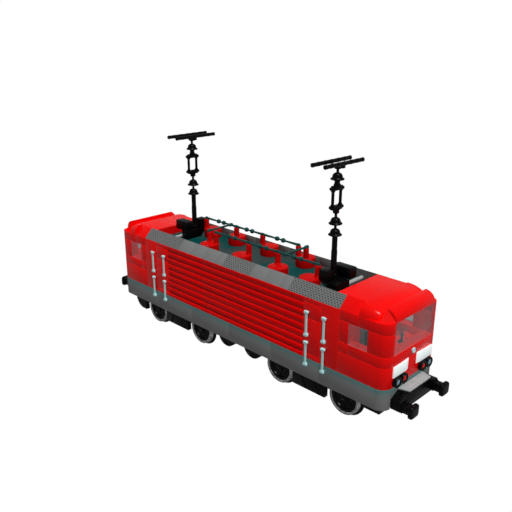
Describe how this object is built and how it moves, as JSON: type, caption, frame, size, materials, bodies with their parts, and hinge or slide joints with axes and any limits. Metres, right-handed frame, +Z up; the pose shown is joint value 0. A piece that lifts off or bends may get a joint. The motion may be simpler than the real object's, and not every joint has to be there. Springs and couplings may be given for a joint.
{
  "type": "toy electric locomotive",
  "caption": "Brick-built toy electric locomotive: red body with louvred sides and glazed cabs, roof masts with contact bars, and swinging bogies with flanged wheels.",
  "frame": {"origin": "on the rail surface, midway between the two bogie pivots and on the middle line", "axes": "+X forward along the body, +Y to the left, +Z up"},
  "size_m": [0.3388, 0.0684, 0.1831],
  "materials": {
    "dark_grey_plastic": "smooth moulded dark grey plastic with a soft gloss",
    "deck_plastic": "dark blue-green grey plastic",
    "mesh_grey_plastic": "dark grey plastic moulded as a fine mesh",
    "red_plastic": "bright red gloss plastic with fine joints between bricks",
    "red_grille_plastic": "bright red gloss plastic, slatted",
    "smoked_clear_plastic": "clear plastic with a faint smoke tint",
    "light_grey_plastic": "light grey gloss plastic",
    "pale_grey_plastic": "pale blue-grey plastic",
    "white_plastic": "white gloss plastic",
    "clear_lens": "clear domed lens",
    "red_lens": "red domed lens",
    "grey_tread": "worn grey tread ring",
    "black_plastic": "black gloss plastic"
  },
  "bodies": {
    "body": {"underframe": "dark_grey_plastic", "skirt_left": "dark_grey_plastic", "skirt_right": "dark_grey_plastic", "skirt_corners": "dark_grey_plastic", "end_aprons": "dark_grey_plastic", "side_wall_left": "red_plastic", "side_wall_right": "red_plastic", "side_grille_left": "red_grille_plastic", "side_grille_right": "red_grille_plastic", "cab_sides_left": "red_plastic", "cab_sides_right": "red_plastic", "cab_corner_columns": "red_plastic", "cab_fronts": "red_plastic", "windscreen_front": "smoked_clear_plastic", "windscreen_rear": "smoked_clear_plastic", "side_windows": "smoked_clear_plastic", "cab_bulkheads": "red_plastic", "cab_consoles": "red_plastic", "cab_seats": "dark_grey_plastic", "roof_deck": "deck_plastic", "roof_slopes": "dark_grey_plastic", "roof_vents": "mesh_grey_plastic", "cab_roof_front": "red_plastic", "cab_roof_rear": "red_plastic", "roof_drums": "red_plastic", "drum_posts": "red_plastic", "bus_bars": "deck_plastic", "deck_bars": "light_grey_plastic", "mast_base_front": "black_plastic", "mast_base_rear": "black_plastic", "buffer_beam_front": "black_plastic", "buffer_beam_rear": "black_plastic", "buffers": "black_plastic", "end_steps": "light_grey_plastic", "white_panels": "white_plastic", "end_badges": "pale_grey_plastic", "lamp_housings": "black_plastic", "headlight_glasses": "clear_lens", "tail_light_glasses": "red_lens", "grab_rails_left": "pale_grey_plastic", "grab_rails_right": "pale_grey_plastic", "underfloor_box": "black_plastic", "underfloor_tanks": "black_plastic"},
    "bogie_front": {"bogie_frame_front": "black_plastic", "bogie_sides_front": "black_plastic"},
    "bogie_rear": {"bogie_frame_rear": "black_plastic", "bogie_sides_rear": "black_plastic"},
    "mast_front_turning": {"mast_front": "black_plastic", "contact_bars_front": "black_plastic"},
    "mast_rear_turning": {"mast_rear": "black_plastic", "contact_bars_rear": "black_plastic"},
    "axle_1": {"wheelset_1": "black_plastic", "tread_rings_1": "grey_tread"},
    "axle_2": {"wheelset_2": "black_plastic", "tread_rings_2": "grey_tread"},
    "axle_3": {"wheelset_3": "black_plastic", "tread_rings_3": "grey_tread"},
    "axle_4": {"wheelset_4": "black_plastic", "tread_rings_4": "grey_tread"}
  },
  "joints": [
    {"name": "bogie_front_swing", "type": "hinge", "parent": "body", "child": "bogie_front", "pos_m": [0.08, 0, 0.03], "axis": [0, 0, 1], "range_deg": [-5, 5]},
    {"name": "bogie_rear_swing", "type": "hinge", "parent": "body", "child": "bogie_rear", "pos_m": [-0.08, 0, 0.03], "axis": [0, 0, 1], "range_deg": [-5, 5]},
    {"name": "axle_1_roll", "type": "hinge", "parent": "bogie_front", "child": "axle_1", "pos_m": [0.112, 0, 0.015], "axis": [0, 1, 0], "continuous": true},
    {"name": "axle_2_roll", "type": "hinge", "parent": "bogie_front", "child": "axle_2", "pos_m": [0.048, 0, 0.015], "axis": [0, 1, 0], "continuous": true},
    {"name": "axle_3_roll", "type": "hinge", "parent": "bogie_rear", "child": "axle_3", "pos_m": [-0.048, 0, 0.015], "axis": [0, 1, 0], "continuous": true},
    {"name": "axle_4_roll", "type": "hinge", "parent": "bogie_rear", "child": "axle_4", "pos_m": [-0.112, 0, 0.015], "axis": [0, 1, 0], "continuous": true},
    {"name": "mast_front_turn", "type": "hinge", "parent": "body", "child": "mast_front_turning", "pos_m": [0.084, -0.004, 0.097], "axis": [0, 0, 1], "range_deg": [-90, 90]},
    {"name": "mast_rear_turn", "type": "hinge", "parent": "body", "child": "mast_rear_turning", "pos_m": [-0.084, 0.004, 0.097], "axis": [0, 0, 1], "range_deg": [-90, 90]}
  ]
}
